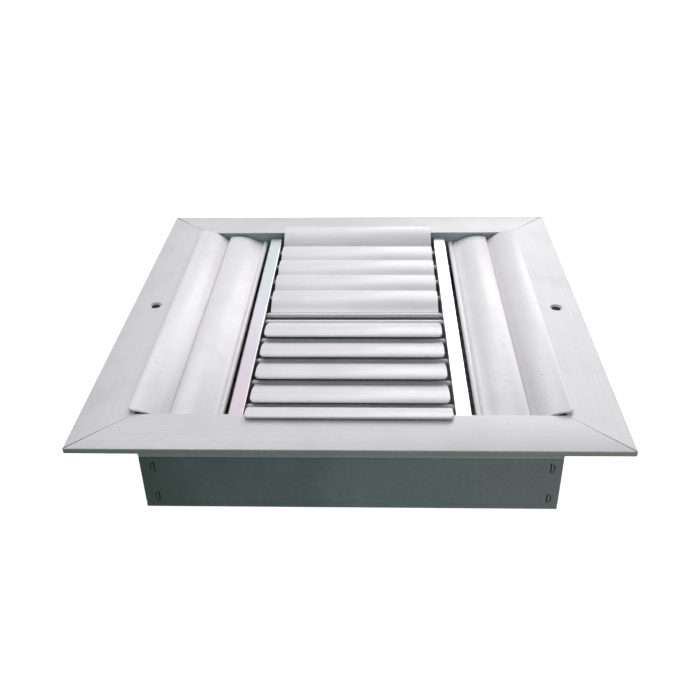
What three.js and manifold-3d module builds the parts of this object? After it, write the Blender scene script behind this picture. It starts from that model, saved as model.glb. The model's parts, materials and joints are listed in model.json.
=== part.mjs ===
// A four-way adjustable ceiling register: curved louvre blades in a mitred
// aluminium face, over an opposed-blade damper on the same square neck.
//
// Millimetres, +Z up. The face looks up, the air side is below, and the lower
// edge of the damper frame stands on z = 0. X runs along the centre blades and
// -Y is the front. Inside the "register" group z = 0 is the top of the face.

import * as THREE from "three";
import { mergeVertices } from "three/addons/utils/BufferGeometryUtils.js";
import Module from "manifold-3d";

const wasm = await Module();
wasm.setup();

// ------------------------------------------------------------ driving sizes

const GAP = 0.3; // air left between pieces that touch on the bench

// Face frame: one aluminium extrusion, cut at 45 degrees into four rails.
const NECK_SIZE = 246; // outside of the square neck
const NECK_DEPTH = 30; // face down to the neck's lower edge
const NECK_WALL = 1.4;
const FLANGE_OVERHANG = 29.4; // flange beyond the neck
const FLANGE_THICKNESS = 1.2;
const FLANGE_LEDGE = 0.6; // flange past the neck's inner face
const LIP_HEIGHT = 3.3; // turned-down outer edge
const LIP_THICKNESS = 1.4;
const KEY_SLOT_OFFSET = 8.2; // neck's outer face to the corner-key slot
const KEY_SLOT_WIDTH = 11.2;
const KEY_SLOT_RIB = 1.0;
const KEY_SLOT_HOOK = 1.6;
const KEY_SLOT_HOOK_HEIGHT = 0.7;
const KEY_LEG = 38; // corner key, from its outer corner to a leg's end
const FIXING_OFFSET = 13.8; // neck's outer face to the ceiling screw's axis
const FIXING_DIAMETER = 4.8;
const FIXING_ALONG = { left: -3, right: 0 }; // along the rail from its middle
const COUNTERSINK_DIAMETER = 8.4;

// Divider bars: a channel, open below, that carries the centre blades' ends.
const BAR_WIDTH = 9;
const BAR_DROP = 4.4; // face to the bar's top
const BAR_DEPTH = 18;
const BAR_WALL = 1.2;
const BAR_CORNER = 1.6; // rounded corners of the top, seen from above
const SIDE_BANK_WIDTH = 56.6; // bar's middle line to the neck's inner face
const BAR_SCREW_DROP = 10.6; // bar's top to the screw's axis
const BAR_SCREW_DIAMETER = 2.9;
const BAR_SCREW_HEAD = 6.4;
const BAR_SCREW_HEAD_HEIGHT = 2.0;
const BAR_SCREW_CROWN = 4.5; // flat middle of the head
const BAR_SCREW_LENGTH = 9.5; // under the head
const SCREW_PORT_RIB = 2.6;

// Louvre blades: a round bead, a straight root and a curved outer part.
const PIVOT_DROP = 9.3; // face to every pivot axis
const BEAD_RADIUS = 1.85;
const BLADE_THICKNESS = 1.2;
const BLADE_ROOT_ANGLE = 27; // degrees above the level, from the bead
const BLADE_ROOT_LENGTH = 9;
const BLADE_CURVE_RADIUS = 29; // middle of the sheet
const BLADE_CORNER = 3;
const BLADE_END_GAP = 2.3; // centre blades to the divider bars
const SIDE_BLADE_END_GAP = 1.2; // side blades to the neck
const TIP_LAP = 2.9; // a blade's tip past the next pivot axis
const EDGE_TILT = 12.5; // degrees, the outermost blades stand over the flange
const BACK_TILT = -2.5; // degrees, the other blades of the back bank lie a little lower
const CENTRE_BLADES = 5; // in the front bank, and again in the rear bank
const CENTRE_PIVOT_OFFSET = 4.6; // middle line to the first pivot axis
const CENTRE_EDGE_INSET = 20; // neck's inner face to the last pivot axis
const SIDE_BAR_INSET = 5; // bar's outer side to the first side pivot axis
const SIDE_EDGE_INSET = 22.4; // neck's inner face to the last side pivot axis
const ROD_RADIUS = 1.0;
const ROD_FIT = 0.3; // rod to the bead's bore
const ROD_RUNNING_FIT = 0.4; // rod to the holes that it turns in
const ROD_REACH = 2.4; // rod past the hole in a divider bar

// Opposed-blade damper under the neck.
const DAMPER_DEPTH = 38.1;
const DAMPER_WALL = 1.2;
const DAMPER_FLANGE = 6;
const DAMPER_BAND = 3; // plain band under the shallow groove of the outside
const DAMPER_GROOVE = 0.4;
const DAMPER_BLADES = 8;
const DAMPER_BLADE_GAP = 0.65; // between two closed blades
const DAMPER_BLADE_SHEET = 0.9;
const DAMPER_TUBE_RADIUS = 2.6;
const DAMPER_PIN_RADIUS = 1.5;
const DAMPER_RUNNING_FIT = 0.4;
const DAMPER_SWING = 85; // degrees from closed to open
const CRANK_RADIUS = 8;
const CRANK_PIN_RADIUS = 1.2;
const CRANK_PIN_PLAY = 0.6;
const CRANK_THICKNESS = 1.0;
const LINK_THICKNESS = 1.0;
const LINK_AIR = 0.4; // cranks to the link bar
const LINK_WALL_GAP = 1.2; // link bar to the damper frame's right side
const LINK_MARGIN = 1.8; // metal round the link bar's slots
const LINK_END_GAP = 0.7; // open link bar to the damper frame's front
const LEVER_WIDTH = 10;
const LEVER_DROP = 16.5; // face to the top of the damper's finger lever
const LEVER_TAB = 6;
const LEVER_AIR = 1; // lever to the sides of its slot in the flange
const STAKE_INSETS = [6, 4.5]; // corner to a stake's middle, left and right from outside
const STAKE_EDGE_TOP = 6.6; // frame's upper edge to the upper stakes
const STAKE_EDGE_BOTTOM = 8.4; // frame's lower edge to the lower stakes
const STAKE_WIDTH = 3.4;
const STAKE_LENGTH = 7.6;
const STAKE_DEPTH = 0.5;

// Spring clips that hold the damper to the neck.
const CLIP_OFFSET = 30; // middle line to a clip's middle
const CLIP_WIDTH = 12;
const CLIP_SHEET = 1.0;
const CLIP_HEIGHT = 14; // above the neck's lower edge
const CLIP_RETURN = 3; // hook under the damper's flange

// How finely the solids are made.
const WELD = 1e-4; // corners nearer than this are one
const OVERSHOOT = 1; // a cutter past the face that it opens
const ROUND_SIDES = 12; // round pins and their holes
const COUNTERSINK_SIDES = 16;
const CURVE_STEPS = 5; // along a curve of a section
const CORNER_STEPS = 4; // round a corner of a plan

// ------------------------------------------------------------ worked out

const NECK_HALF = NECK_SIZE / 2;
const NECK_INSIDE = NECK_HALF - NECK_WALL;
const FLANGE_INSIDE = NECK_INSIDE - FLANGE_LEDGE;
const FACE_HALF = NECK_HALF + FLANGE_OVERHANG;
const MITRE_CUT = (GAP / 2) * Math.SQRT2;
const DAMPER_TOP = -NECK_DEPTH - GAP;
const FACE_HEIGHT = DAMPER_DEPTH - DAMPER_TOP;
const KEY_SLOT_IN = NECK_HALF + KEY_SLOT_OFFSET;
const KEY_SLOT_OUT = KEY_SLOT_IN + KEY_SLOT_WIDTH;
const KEY_SLOT_HEIGHT = LIP_HEIGHT - FLANGE_THICKNESS - KEY_SLOT_HOOK_HEIGHT;
const BAR_MIDDLE = NECK_INSIDE - SIDE_BANK_WIDTH;
const BAR_SCREW_Z = -BAR_DROP - BAR_SCREW_DROP;
const ROD_HOLE = ROD_RADIUS + ROD_RUNNING_FIT;
const CENTRE_BLADE_LENGTH = 2 * (BAR_MIDDLE - BAR_WIDTH / 2 - BLADE_END_GAP);
const SIDE_BLADE_LENGTH = 2 * (NECK_INSIDE - SIDE_BLADE_END_GAP);
const CENTRE_PITCH =
  (NECK_INSIDE - CENTRE_EDGE_INSET - CENTRE_PIVOT_OFFSET) / (CENTRE_BLADES - 1);
const SIDE_PIVOTS = [
  BAR_MIDDLE + BAR_WIDTH / 2 + SIDE_BAR_INSET,
  NECK_INSIDE - SIDE_EDGE_INSET,
];
const CENTRE_PIVOTS = Array.from(
  { length: CENTRE_BLADES },
  (_, i) => CENTRE_PIVOT_OFFSET + i * CENTRE_PITCH,
);
const DAMPER_INSIDE = NECK_HALF - DAMPER_WALL;
const DAMPER_PITCH = (2 * DAMPER_INSIDE) / DAMPER_BLADES;
const DAMPER_AXIS_Z = DAMPER_TOP - DAMPER_DEPTH / 2;
const DAMPER_BLADE_HALF = (DAMPER_PITCH - DAMPER_BLADE_GAP) / 2;
const LINK_OUT = DAMPER_INSIDE - LINK_WALL_GAP; // outer face of the link bar
const LINK_IN = LINK_OUT - LINK_THICKNESS;
const CRANK_OUT = LINK_IN - LINK_AIR;
const DAMPER_BLADE_END = CRANK_OUT - CRANK_THICKNESS;
const CRANK_START = THREE.MathUtils.degToRad(DAMPER_SWING / 2);
const LINK_TRAVEL = 2 * CRANK_RADIUS * Math.sin(CRANK_START);

// ------------------------------------------------------------ finishes

function finish(colour, roughness, metalness) {
  return () => new THREE.MeshStandardMaterial({ color: colour, roughness, metalness });
}
const whitePaint = finish(0xe2e0e3, 0.42, 0.0);
const bladePaint = finish(0xe8e6ea, 0.36, 0.0);
const millAluminium = finish(0xdfe6ea, 0.34, 0.85);
const zincSteel = finish(0xb4b8ba, 0.38, 0.9);
const damperPaint = finish(0x7d8a8c, 0.5, 0.2);

// ------------------------------------------------------------ solid tools

// A closed three.js geometry as a manifold solid.
function solid(geometry) {
  const bare = geometry.clone();
  bare.deleteAttribute("normal");
  bare.deleteAttribute("uv");
  const merged = mergeVertices(bare, WELD);
  return new wasm.Manifold(
    new wasm.Mesh({
      numProp: 3,
      vertProperties: new Float32Array(merged.attributes.position.array),
      triVerts: new Uint32Array(merged.index.array),
    }),
  );
}

// The solid's surface as a three.js geometry.
function surface(body) {
  const { vertProperties, triVerts } = body.getMesh();
  const geometry = new THREE.BufferGeometry();
  geometry.setAttribute("position", new THREE.BufferAttribute(vertProperties, 3));
  geometry.setIndex(new THREE.BufferAttribute(triVerts, 1));
  geometry.computeVertexNormals();
  return geometry;
}

function carve(geometry, cutters) {
  return surface(cutters.reduce((body, cutter) => body.subtract(solid(cutter)), solid(geometry)));
}

function piece(name, geometry, material) {
  const mesh = new THREE.Mesh(geometry, material());
  mesh.name = name;
  return mesh;
}

function outline(points) {
  return new THREE.Shape(points.map(([x, y]) => new THREE.Vector2(x, y)));
}

// A section drawn as (outward, up), run along Y and centred on it.
function runAlong(section, length) {
  const options = { depth: length, bevelEnabled: false, curveSegments: CURVE_STEPS };
  const geometry = new THREE.ExtrudeGeometry(section, options);
  return geometry.translate(0, 0, -length / 2).rotateX(Math.PI / 2);
}

// A plan drawn in X and Y, standing from one height to another.
function stand(plan, low, high) {
  const options = { depth: high - low, bevelEnabled: false, curveSegments: CORNER_STEPS };
  return new THREE.ExtrudeGeometry(plan, options).translate(0, 0, low);
}

function block(lowX, highX, lowY, highY, lowZ, highZ) {
  const geometry = new THREE.BoxGeometry(highX - lowX, highY - lowY, highZ - lowZ);
  return geometry.translate((lowX + highX) / 2, (lowY + highY) / 2, (lowZ + highZ) / 2);
}

// A round bar along X or along Y.
function roundX(radius, lowX, highX, y, z) {
  const geometry = new THREE.CylinderGeometry(radius, radius, highX - lowX, ROUND_SIDES);
  return geometry.rotateZ(Math.PI / 2).translate((lowX + highX) / 2, y, z);
}
function roundY(radius, lowY, highY, x, z) {
  const geometry = new THREE.CylinderGeometry(radius, radius, highY - lowY, ROUND_SIDES);
  return geometry.translate(x, (lowY + highY) / 2, z);
}

// Both ends of a straight run, centred on the origin, cut at 45 degrees so that
// four of them close a square.
function mitre(geometry) {
  const place = geometry.attributes.position;
  for (let i = 0; i < place.count; i++) {
    place.setY(i, Math.sign(place.getY(i)) * (place.getX(i) - MITRE_CUT));
  }
  return geometry;
}

// A rectangle in plan with its four corners rounded.
function roundedPlan(lowX, highX, lowY, highY, radius) {
  const plan = new THREE.Shape();
  plan.absarc(highX - radius, lowY + radius, radius, -Math.PI / 2, 0);
  plan.absarc(highX - radius, highY - radius, radius, 0, Math.PI / 2);
  plan.absarc(lowX + radius, highY - radius, radius, Math.PI / 2, Math.PI);
  plan.absarc(lowX + radius, lowY + radius, radius, Math.PI, 1.5 * Math.PI);
  return plan;
}

// ------------------------------------------------------------ the four sides

// Every side is modelled looking along +X, then turned to face its own way.
const HEADINGS = { front: -Math.PI / 2, back: Math.PI / 2, left: Math.PI, right: 0 };

function facing(side, ...members) {
  const group = new THREE.Group();
  group.rotation.z = HEADINGS[side];
  group.add(...members);
  return group;
}

// ------------------------------------------------------------ face frame

function railSection() {
  const ribTop = -FLANGE_THICKNESS;
  const hookTop = ribTop - KEY_SLOT_HEIGHT;
  const slotMouthIn = KEY_SLOT_IN + KEY_SLOT_HOOK;
  const slotMouthOut = KEY_SLOT_OUT - KEY_SLOT_HOOK;
  return outline([
    [FLANGE_INSIDE, 0],
    [FLANGE_INSIDE, -FLANGE_THICKNESS],
    [NECK_INSIDE, -FLANGE_THICKNESS],
    [NECK_INSIDE, -NECK_DEPTH],
    [NECK_HALF, -NECK_DEPTH],
    [NECK_HALF, ribTop],
    [KEY_SLOT_IN - KEY_SLOT_RIB, ribTop],
    [KEY_SLOT_IN - KEY_SLOT_RIB, -LIP_HEIGHT],
    [slotMouthIn, -LIP_HEIGHT],
    [slotMouthIn, hookTop],
    [KEY_SLOT_IN, hookTop],
    [KEY_SLOT_IN, ribTop],
    [KEY_SLOT_OUT, ribTop],
    [KEY_SLOT_OUT, hookTop],
    [slotMouthOut, hookTop],
    [slotMouthOut, -LIP_HEIGHT],
    [KEY_SLOT_OUT + KEY_SLOT_RIB, -LIP_HEIGHT],
    [KEY_SLOT_OUT + KEY_SLOT_RIB, ribTop],
    [FACE_HALF - LIP_THICKNESS, ribTop],
    [FACE_HALF - LIP_THICKNESS, -LIP_HEIGHT],
    [FACE_HALF, -LIP_HEIGHT],
    [FACE_HALF, 0],
  ]);
}

// Countersunk hole for the ceiling screw, on the Z axis through (x, y).
function fixingHole(x, y) {
  const narrow = FIXING_DIAMETER / 2;
  const wide = COUNTERSINK_DIAMETER / 2;
  const profile = [
    [0, -LIP_HEIGHT],
    [narrow, -LIP_HEIGHT],
    [narrow, narrow - wide],
    [wide, 0],
    [wide, GAP],
    [0, GAP],
  ];
  const points = profile.map(([r, z]) => new THREE.Vector2(r, z));
  const lathe = new THREE.LatheGeometry(points, COUNTERSINK_SIDES);
  return lathe.rotateX(Math.PI / 2).translate(x, y, 0);
}

function rail(side) {
  const cutters = [];
  if (side === "left" || side === "right") {
    cutters.push(fixingHole(NECK_HALF + FIXING_OFFSET, FIXING_ALONG[side]));
  } else {
    for (const hand of [-1, 1]) {
      for (const pivot of SIDE_PIVOTS) {
        cutters.push(
          roundX(ROD_HOLE, NECK_INSIDE - GAP, NECK_HALF + GAP, hand * pivot, -PIVOT_DROP),
        );
      }
      const screwHole = BAR_SCREW_DIAMETER / 2 + GAP;
      cutters.push(
        roundX(screwHole, NECK_INSIDE - GAP, NECK_HALF + GAP, hand * BAR_MIDDLE, BAR_SCREW_Z),
      );
    }
  }
  return piece(`rail_${side}`, carve(mitre(runAlong(railSection(), 1)), cutters), whitePaint);
}

// An L of flat steel in the key slots of two rails.
function cornerKey(name) {
  const low = KEY_SLOT_IN + GAP;
  const high = KEY_SLOT_OUT - GAP;
  const end = high - KEY_LEG;
  const plan = outline([
    [end, low],
    [low, low],
    [low, end],
    [high, end],
    [high, high],
    [end, high],
  ]);
  const top = -FLANGE_THICKNESS - GAP;
  return piece(name, stand(plan, top - (KEY_SLOT_HEIGHT - 2 * GAP), top), zincSteel);
}

// ------------------------------------------------------------ divider bars

function barSection() {
  const half = BAR_WIDTH / 2;
  const inner = half - BAR_WALL;
  const port = BAR_SCREW_DIAMETER / 2 + GAP;
  const rib = (side) => [
    [side * inner, BAR_SCREW_Z - side * (SCREW_PORT_RIB / 2)],
    [side * port, BAR_SCREW_Z - side * (SCREW_PORT_RIB / 2)],
    [side * port, BAR_SCREW_Z + side * (SCREW_PORT_RIB / 2)],
    [side * inner, BAR_SCREW_Z + side * (SCREW_PORT_RIB / 2)],
  ];
  return outline([
    [-half, -BAR_DROP],
    [-half, -BAR_DROP - BAR_DEPTH],
    [-inner, -BAR_DROP - BAR_DEPTH],
    ...rib(-1).reverse(),
    [-inner, -BAR_DROP - BAR_WALL],
    [inner, -BAR_DROP - BAR_WALL],
    ...rib(1).reverse(),
    [inner, -BAR_DROP - BAR_DEPTH],
    [half, -BAR_DROP - BAR_DEPTH],
    [half, -BAR_DROP],
  ]);
}

// The bar as it stands on the right; its holes face the middle, towards -X.
function dividerBar(name) {
  const end = NECK_INSIDE - GAP;
  const plan = roundedPlan(-BAR_WIDTH / 2, BAR_WIDTH / 2, -end, end, BAR_CORNER);
  const rounded = solid(runAlong(barSection(), 2 * end)).intersect(
    solid(stand(plan, -BAR_DROP - BAR_DEPTH, -BAR_DROP)),
  );
  const holes = CENTRE_PIVOTS.flatMap((pivot) => [-pivot, pivot]).map((y) =>
    roundX(ROD_HOLE, -BAR_WIDTH / 2 - GAP, -BAR_WIDTH / 2 + BAR_WALL + GAP, y, -PIVOT_DROP),
  );
  return piece(name, carve(surface(rounded), holes), millAluminium);
}

// Pan-head screw along +X, with its head outside the neck.
function barScrew(name) {
  const shank = BAR_SCREW_DIAMETER / 2;
  const head = BAR_SCREW_HEAD / 2;
  const profile = [
    [0, -BAR_SCREW_LENGTH],
    [shank / 2, -BAR_SCREW_LENGTH],
    [shank, -BAR_SCREW_LENGTH + shank],
    [shank, 0],
    [head, 0],
    [head, BAR_SCREW_HEAD_HEIGHT / 2],
    [BAR_SCREW_CROWN / 2, BAR_SCREW_HEAD_HEIGHT],
    [0, BAR_SCREW_HEAD_HEIGHT],
  ];
  const points = profile.map(([r, x]) => new THREE.Vector2(r, x));
  const lathe = new THREE.LatheGeometry(points, ROUND_SIDES);
  return piece(name, lathe.rotateZ(-Math.PI / 2), zincSteel);
}

// ------------------------------------------------------------ louvre blades

// The blade's section with the pivot axis at the origin and its tip towards +X.
// reach is the level distance from the axis to the tip's outermost point.
function bladeSection(reach) {
  const root = THREE.MathUtils.degToRad(BLADE_ROOT_ANGLE);
  const sheetTop = -BEAD_RADIUS + BLADE_THICKNESS;
  const outer = BLADE_CURVE_RADIUS + BLADE_THICKNESS / 2;
  const inner = BLADE_CURVE_RADIUS - BLADE_THICKNESS / 2;
  const centreY = sheetTop - outer;
  const centreX = BLADE_ROOT_LENGTH * Math.cos(root) - centreY * Math.sin(root);
  const past = Math.asin((reach - centreX) / outer);
  const turned = Math.PI / 2 - root - past;
  const meet = Math.sqrt(BEAD_RADIUS ** 2 - sheetTop ** 2);
  const section = new THREE.Shape();
  section.moveTo(0, -BEAD_RADIUS);
  section.lineTo(BLADE_ROOT_LENGTH, -BEAD_RADIUS);
  section.absarc(BLADE_ROOT_LENGTH, centreY, inner, Math.PI / 2, turned, true);
  section.absarc(BLADE_ROOT_LENGTH, centreY, outer, turned, Math.PI / 2, false);
  section.lineTo(meet, sheetTop);
  section.absarc(0, 0, BEAD_RADIUS, Math.atan2(sheetTop, meet), 1.5 * Math.PI, false);
  const bore = new THREE.Path();
  bore.absarc(0, 0, ROD_RADIUS + ROD_FIT, 0, 2 * Math.PI, true);
  section.holes.push(bore);
  return section;
}

function bladeGeometry(length, reach) {
  const root = THREE.MathUtils.degToRad(BLADE_ROOT_ANGLE);
  const blade = solid(runAlong(bladeSection(reach), length).rotateY(-root));
  const plan = roundedPlan(-reach, reach, -length / 2, length / 2, BLADE_CORNER);
  return surface(blade.intersect(solid(stand(plan, -reach, reach))));
}

// A blade on its own rod, on a pivot axis at a distance from the middle line.
function louvre(name, distance, length, reach, rodLength, tilt) {
  const group = new THREE.Group();
  group.position.set(distance, 0, -PIVOT_DROP);
  group.rotation.y = -THREE.MathUtils.degToRad(tilt);
  group.add(
    piece(`blade_${name}`, bladeGeometry(length, reach), bladePaint),
    piece(`rod_${name}`, roundY(ROD_RADIUS, -rodLength / 2, rodLength / 2, 0, 0), zincSteel),
  );
  return group;
}

function centreBank(side) {
  const rodLength = 2 * (BAR_MIDDLE - BAR_WIDTH / 2 + BAR_WALL + ROD_REACH);
  const reach = CENTRE_PITCH + TIP_LAP;
  const blades = CENTRE_PIVOTS.map((distance, i) => {
    const inner = side === "back" ? BACK_TILT : 0;
    const tilt = i === CENTRE_BLADES - 1 ? EDGE_TILT : inner;
    const name = `${side}_${i + 1}`;
    return louvre(name, distance, CENTRE_BLADE_LENGTH, reach, rodLength, tilt);
  });
  return facing(side, ...blades);
}

function sideBank(side) {
  const [inside, outside] = SIDE_PIVOTS;
  const rodLength = 2 * (NECK_HALF - GAP);
  const reach = outside - inside + TIP_LAP;
  return facing(
    side,
    louvre(`${side}_inner`, inside, SIDE_BLADE_LENGTH, reach, rodLength, 0),
    louvre(`${side}_outer`, outside, SIDE_BLADE_LENGTH, reach, rodLength, EDGE_TILT),
  );
}

// ------------------------------------------------------------ damper

function damperSection() {
  const bottom = DAMPER_TOP - DAMPER_DEPTH;
  const flangeIn = DAMPER_INSIDE - DAMPER_FLANGE;
  const grooveIn = NECK_HALF - DAMPER_GROOVE;
  const bandTop = bottom + DAMPER_BAND;
  return outline([
    [flangeIn, DAMPER_TOP],
    [flangeIn, DAMPER_TOP - DAMPER_WALL],
    [DAMPER_INSIDE, DAMPER_TOP - DAMPER_WALL],
    [DAMPER_INSIDE, bottom + DAMPER_WALL],
    [flangeIn, bottom + DAMPER_WALL],
    [flangeIn, bottom],
    [NECK_HALF, bottom],
    [NECK_HALF, bandTop],
    [grooveIn, bandTop + DAMPER_GROOVE],
    [grooveIn, bandTop + 2 * DAMPER_GROOVE],
    [NECK_HALF, bandTop + 3 * DAMPER_GROOVE],
    [NECK_HALF, DAMPER_TOP],
  ]);
}

const DAMPER_PIVOTS = Array.from(
  { length: DAMPER_BLADES },
  (_, i) => (i + 0.5) * DAMPER_PITCH - DAMPER_INSIDE,
);

// Half-round dents, two above two, where the corners of the frame are staked.
function stakes() {
  const levels = [DAMPER_TOP - STAKE_EDGE_TOP, DAMPER_TOP - DAMPER_DEPTH + STAKE_EDGE_BOTTOM];
  return levels.flatMap((z) =>
    STAKE_INSETS.map((inset, i) => {
      const hand = i === 0 ? -1 : 1;
      const start = (-hand * Math.PI) / 2;
      const dent = new THREE.Shape();
      dent.absellipse(0, 0, STAKE_WIDTH, STAKE_LENGTH / 2, start, start + Math.PI);
      const geometry = stand(dent, 0, 2 * STAKE_DEPTH);
      geometry.rotateY(Math.PI / 2).rotateX(Math.PI / 2);
      const y = hand * (NECK_HALF - inset - STAKE_WIDTH / 2);
      return geometry.translate(NECK_HALF - STAKE_DEPTH, y, z);
    }),
  );
}

function damperRail(side) {
  const cutters = stakes();
  const pinHole = DAMPER_PIN_RADIUS + DAMPER_RUNNING_FIT;
  if (side === "left" || side === "right") {
    for (const y of DAMPER_PIVOTS) {
      cutters.push(roundX(pinHole, DAMPER_INSIDE - GAP, NECK_HALF + GAP, y, DAMPER_AXIS_Z));
    }
  }
  if (side === "right") {
    const half = (LINK_TRAVEL + LEVER_WIDTH) / 2 + LEVER_AIR;
    const low = DAMPER_TOP - DAMPER_WALL - OVERSHOOT;
    const high = DAMPER_TOP + OVERSHOOT;
    cutters.push(block(LINK_IN - LEVER_AIR, DAMPER_INSIDE, -half, half, low, high));
  }
  const geometry = carve(mitre(runAlong(damperSection(), 1)), cutters);
  return piece(`damper_rail_${side}`, geometry, damperPaint);
}

// A closed damper blade on the X axis: two wings on a round tube, a pin at each
// end, and on the right a crank whose pin works in the link bar. Blades take
// turns: crank up opens one way, crank down the other.
function damperBlade(name, y, crankUp) {
  const end = DAMPER_BLADE_END;
  const up = crankUp ? 1 : -1;
  const crankY = CRANK_RADIUS * Math.sin(CRANK_START);
  const crankZ = up * CRANK_RADIUS * Math.cos(CRANK_START);
  const wing = DAMPER_BLADE_SHEET / 2;
  const arm = new THREE.BoxGeometry(CRANK_THICKNESS + GAP, 2 * DAMPER_TUBE_RADIUS, CRANK_RADIUS);
  arm.translate(CRANK_OUT - (CRANK_THICKNESS + GAP) / 2, 0, CRANK_RADIUS / 2);
  arm.rotateX(-Math.atan2(crankY, crankZ));
  const members = [
    block(-end, end, -DAMPER_BLADE_HALF, DAMPER_BLADE_HALF, -wing, wing),
    roundX(DAMPER_TUBE_RADIUS, -end, CRANK_OUT, 0, 0),
    roundX(DAMPER_PIN_RADIUS, -NECK_HALF + GAP, NECK_HALF - GAP, 0, 0),
    arm,
    roundX(DAMPER_TUBE_RADIUS, CRANK_OUT - CRANK_THICKNESS, CRANK_OUT, crankY, crankZ),
    roundX(CRANK_PIN_RADIUS, CRANK_OUT - GAP, LINK_OUT + LINK_AIR, crankY, crankZ),
  ];
  const joined = members.map(solid).reduce((body, member) => body.add(member));
  const mesh = piece(name, surface(joined), damperPaint);
  mesh.position.set(0, y, DAMPER_AXIS_Z);
  return mesh;
}

// The link bar: a slot for each crank pin, a long hole that clears each pivot,
// and a finger lever that stands up through the damper's flange.
function linkBar() {
  const crankY = CRANK_RADIUS * Math.sin(CRANK_START);
  const slotLow = CRANK_RADIUS * Math.cos(CRANK_START) - CRANK_PIN_RADIUS - CRANK_PIN_PLAY;
  const slotHigh = CRANK_RADIUS + CRANK_PIN_RADIUS + CRANK_PIN_PLAY;
  const slotHalf = CRANK_PIN_RADIUS + CRANK_PIN_PLAY;
  const clearance = DAMPER_PIN_RADIUS + DAMPER_RUNNING_FIT;
  const barHalf = slotHigh + LINK_MARGIN;
  const endY = DAMPER_PIVOTS[DAMPER_BLADES - 1] + crankY + slotHalf + LINK_MARGIN;
  const startY = LINK_TRAVEL + LINK_END_GAP - DAMPER_INSIDE;
  const low = LINK_IN - OVERSHOOT;
  const high = LINK_OUT + OVERSHOOT;
  const leverTop = -LEVER_DROP - DAMPER_AXIS_Z;
  const lever = [crankY - LEVER_WIDTH / 2, crankY + LEVER_WIDTH / 2];
  const cuts = DAMPER_PIVOTS.flatMap((y, i) => {
    const up = i % 2 === 0;
    const slot = up ? [slotLow, slotHigh] : [-slotHigh, -slotLow];
    return [
      block(low, high, y + crankY - slotHalf, y + crankY + slotHalf, ...slot),
      block(low, high, y - clearance, y + LINK_TRAVEL + clearance, -clearance, clearance),
    ];
  });
  const members = [
    block(LINK_IN, LINK_OUT, startY, endY, -barHalf, barHalf),
    block(LINK_IN, LINK_OUT, ...lever, 0, leverTop),
    block(LINK_OUT - LEVER_TAB, LINK_OUT, ...lever, leverTop - LINK_THICKNESS, leverTop),
  ];
  const joined = members.map(solid).reduce((body, member) => body.add(member));
  const mesh = piece("damper_link_bar", carve(surface(joined), cuts), zincSteel);
  mesh.position.z = DAMPER_AXIS_Z;
  return mesh;
}

// A spring clip on the neck's inner face, hooked round the damper's flange.
function clip(name, along) {
  const back = NECK_INSIDE - GAP;
  const hookIn = DAMPER_INSIDE - DAMPER_FLANGE - GAP;
  const top = DAMPER_TOP + GAP;
  const under = DAMPER_TOP - DAMPER_WALL - GAP;
  const section = outline([
    [back - CLIP_SHEET, top + CLIP_HEIGHT],
    [back - CLIP_SHEET, top + CLIP_SHEET],
    [hookIn - CLIP_SHEET, top + CLIP_SHEET],
    [hookIn - CLIP_SHEET, under - CLIP_SHEET],
    [hookIn + CLIP_RETURN, under - CLIP_SHEET],
    [hookIn + CLIP_RETURN, under],
    [hookIn, under],
    [hookIn, top],
    [back, top],
    [back, top + CLIP_HEIGHT],
  ]);
  return piece(name, runAlong(section, CLIP_WIDTH).translate(0, along, 0), zincSteel);
}

// ------------------------------------------------------------ assembly

const register = new THREE.Group();
register.position.z = FACE_HEIGHT;

for (const side of ["front", "back", "left", "right"]) {
  register.add(facing(side, rail(side), damperRail(side)));
}

["back_right", "back_left", "front_left", "front_right"].forEach((corner, i) => {
  const key = cornerKey(`corner_key_${corner}`);
  key.rotation.z = (i * Math.PI) / 2;
  register.add(key);
});

for (const side of ["left", "right"]) {
  const bar = dividerBar(`divider_bar_${side}`);
  bar.position.x = BAR_MIDDLE;
  register.add(facing(side, bar));
}

for (const side of ["front", "back"]) {
  register.add(centreBank(side));
  // Seen from a side's own heading, the register's left is at +Y in front.
  const leftHand = side === "front" ? -1 : 1;
  for (const hand of ["left", "right"]) {
    const along = hand === "left" ? leftHand : -leftHand;
    const screw = barScrew(`bar_screw_${side}_${hand}`);
    screw.position.set(NECK_HALF + GAP, along * BAR_MIDDLE, BAR_SCREW_Z);
    register.add(facing(side, screw, clip(`damper_clip_${side}_${hand}`, along * CLIP_OFFSET)));
  }
}

register.add(sideBank("left"), sideBank("right"));

DAMPER_PIVOTS.forEach((y, i) => {
  register.add(damperBlade(`damper_blade_${i + 1}`, y, i % 2 === 0));
});
register.add(linkBar());

const group = new THREE.Group();
group.add(register);

export default group;
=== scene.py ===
# %% [markdown]
# # A four-way louvred air grille
#
# This lesson dresses a ceiling register: a square aluminium face with four
# banks of curved blades, two bright divider bars, and a damper frame under
# its neck. The CAD model is loaded first and never moved. Every piece made
# here goes exactly where the CAD says, so nothing has to be fitted by eye.

# %% Load the CAD frame
import json
import math

import bmesh
import bpy
from mathutils import Matrix, Vector


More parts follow.
